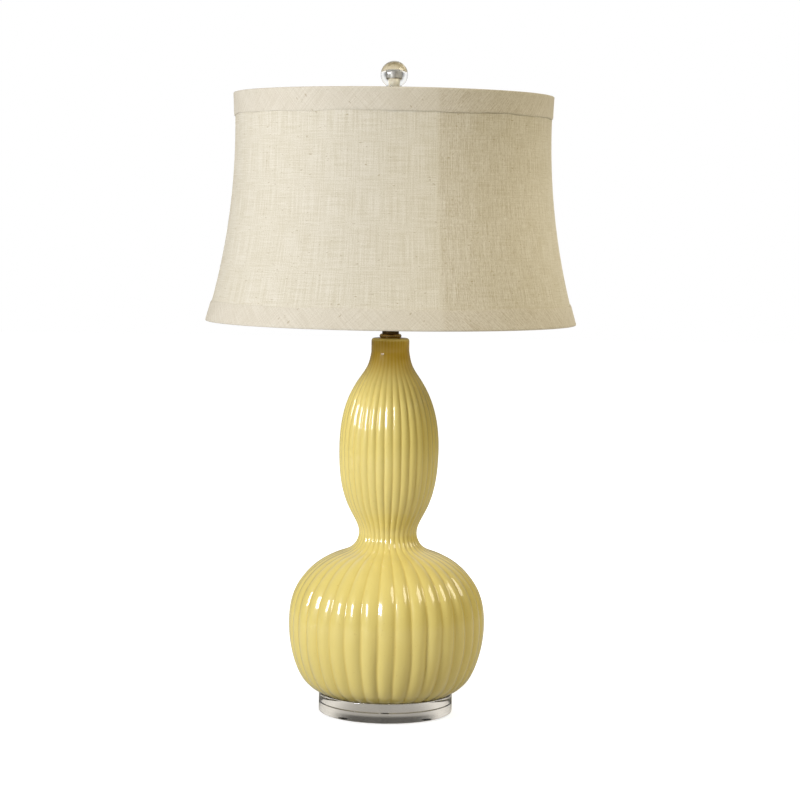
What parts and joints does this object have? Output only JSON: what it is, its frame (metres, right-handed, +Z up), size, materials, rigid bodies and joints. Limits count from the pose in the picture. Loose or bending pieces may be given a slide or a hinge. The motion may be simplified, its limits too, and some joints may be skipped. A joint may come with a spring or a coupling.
{
  "type": "table lamp",
  "caption": "Table lamp with a ribbed double-gourd ceramic body on a clear round base, a linen bell shade on a harp and a clear ball finial.",
  "frame": {"origin": "on the table under the lamp's axis, at the underside of the bumpers", "axes": "+Z up along the lamp's axis, -Y towards the front with the switch knob, harp in the XZ plane"},
  "size_m": [0.4125, 0.4126, 0.7277],
  "materials": {
    "acrylic": "clear, polished",
    "bumper": "clear, soft",
    "steel": "zinc plated",
    "nickel": "satin nickel",
    "glaze": "gloss glaze",
    "bushing": "moulded",
    "antique_brass": "antique",
    "socket_brass": "drawn",
    "paper_sleeve": "fibre",
    "phenolic": "moulded",
    "knob": "moulded",
    "bulb_metal": "rolled",
    "bulb_glass": "frosted",
    "linen": "slubby weave",
    "lining": "smooth",
    "frame_wire": "enamelled"
  },
  "bodies": {
    "lamp": {"base_bumpers": "bumper", "acrylic_base": "acrylic", "threaded_rod": "steel", "ceramic_body": "glaze", "cord_bushing": "bushing", "check_ring": "antique_brass", "neck_washer": "steel", "neck_nut": "steel", "neck_sleeve": "antique_brass", "harp_saddle": "antique_brass", "harp_wire": "antique_brass", "harp_stud": "antique_brass", "socket_cap": "socket_brass", "socket_shell": "socket_brass", "socket_insulator": "paper_sleeve", "socket_core": "phenolic", "terminal_screws": "steel", "lamp_holder": "socket_brass", "centre_contact": "socket_brass"},
    "switch": {"switch_shaft": "socket_brass", "switch_knob": "knob"},
    "bulb": {"bulb_contact": "bulb_metal", "bulb_button": "phenolic", "bulb_cap": "bulb_metal", "bulb_globe": "bulb_glass"},
    "finial": {"finial_ball": "acrylic", "finial_insert": "nickel"},
    "shade": {"shade_cover": "linen", "shade_lining": "lining", "top_trim": "linen", "bottom_trim": "linen", "top_ring": "frame_wire", "bottom_ring": "frame_wire", "shade_struts": "frame_wire", "spider_hub": "frame_wire", "spider_arms": "frame_wire"},
    "left_ferrule": {"ferrule_left": "antique_brass"},
    "right_ferrule": {"ferrule_right": "antique_brass"}
  },
  "joints": [
    {"name": "switch_turn", "type": "hinge", "parent": "lamp", "child": "switch", "pos_m": [0, -0.03, 0.4601], "axis": [0, -1, 0], "continuous": true},
    {"name": "bulb_turn", "type": "hinge", "parent": "lamp", "child": "bulb", "pos_m": [0, 0, 0.4999], "axis": [0, 0, 1], "continuous": true},
    {"name": "shade_turn", "type": "hinge", "parent": "lamp", "child": "shade", "pos_m": [0, 0, 0.6814], "axis": [0, 0, 1], "continuous": true},
    {"name": "finial_turn", "type": "hinge", "parent": "lamp", "child": "finial", "pos_m": [0, 0, 0.683], "axis": [0, 0, 1], "continuous": true},
    {"name": "ferrule_left_slide", "type": "slide", "parent": "lamp", "child": "left_ferrule", "axis": [0, 0, 1], "range_m": [0, 0.014]},
    {"name": "ferrule_right_slide", "type": "slide", "parent": "lamp", "child": "right_ferrule", "axis": [0, 0, 1], "range_m": [0, 0.014]}
  ]
}
